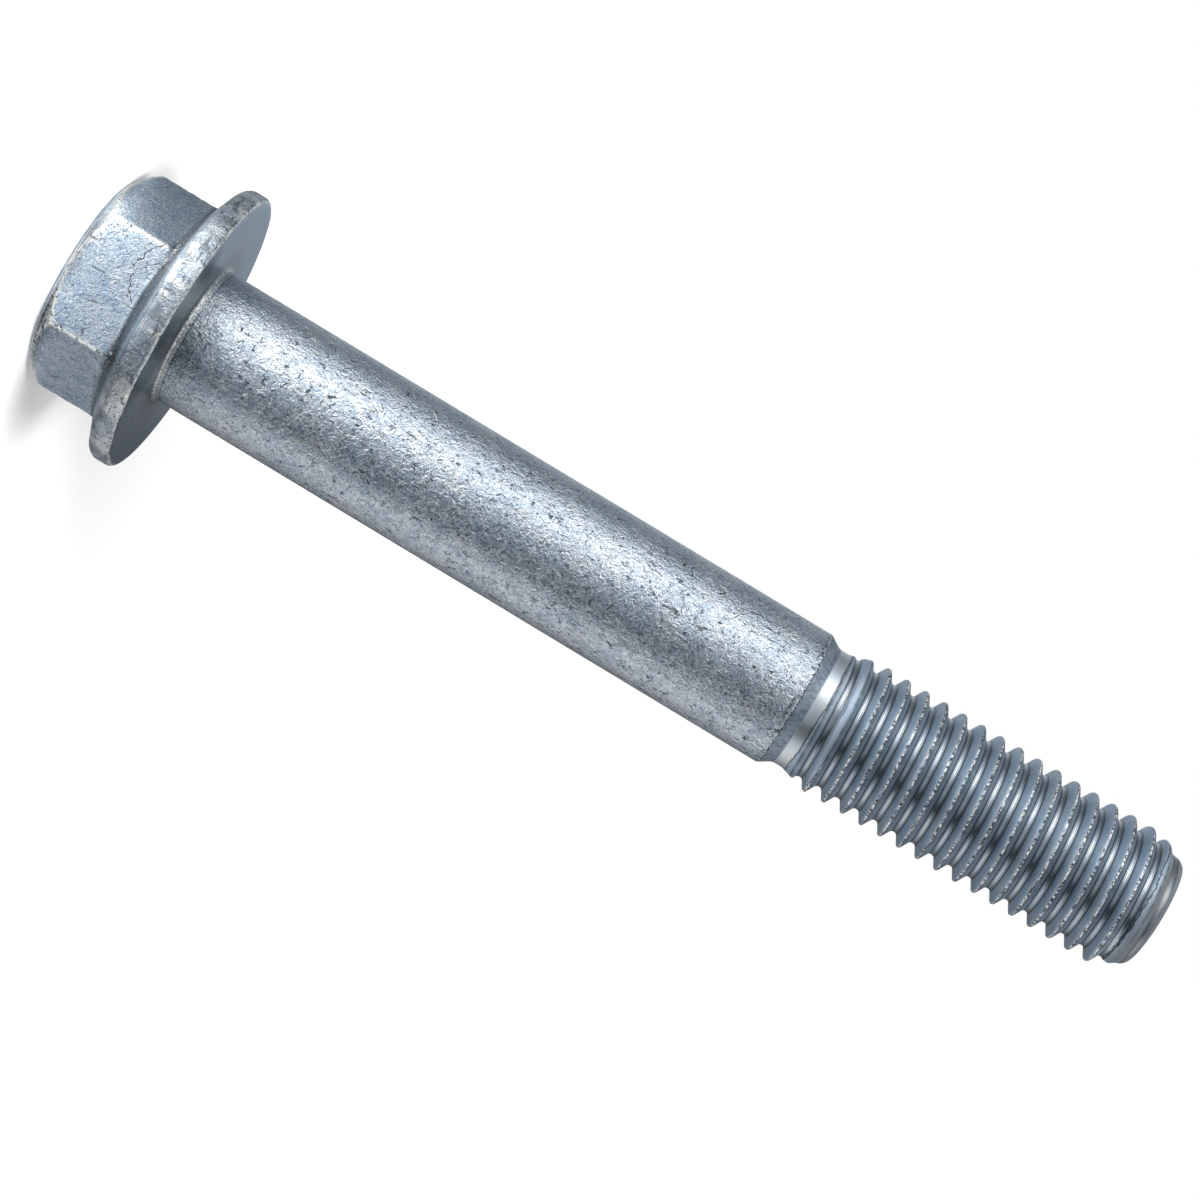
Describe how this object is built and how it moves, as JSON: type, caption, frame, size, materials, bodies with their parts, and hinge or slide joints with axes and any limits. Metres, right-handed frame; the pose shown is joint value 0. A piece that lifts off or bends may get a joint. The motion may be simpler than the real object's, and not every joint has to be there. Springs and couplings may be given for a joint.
{
  "type": "flange bolt",
  "caption": "Hexagon flange bolt with a round integral flange, a long plain shank and a right-hand thread on its lower third, zinc plated.",
  "frame": {"origin": "centre of the head's flat top face, on which the bolt stands", "axes": "+Z along the bolt's axis towards its point; +Y square to one flat of the hexagon; +X through a corner of it"},
  "size_m": [0.025, 0.025, 0.1],
  "materials": {
    "zinc_plated_steel": "zinc plated, blue passivated, satin with fine pits"
  },
  "bodies": {
    "root": {"flange_bolt": "zinc_plated_steel"}
  },
  "joints": []
}
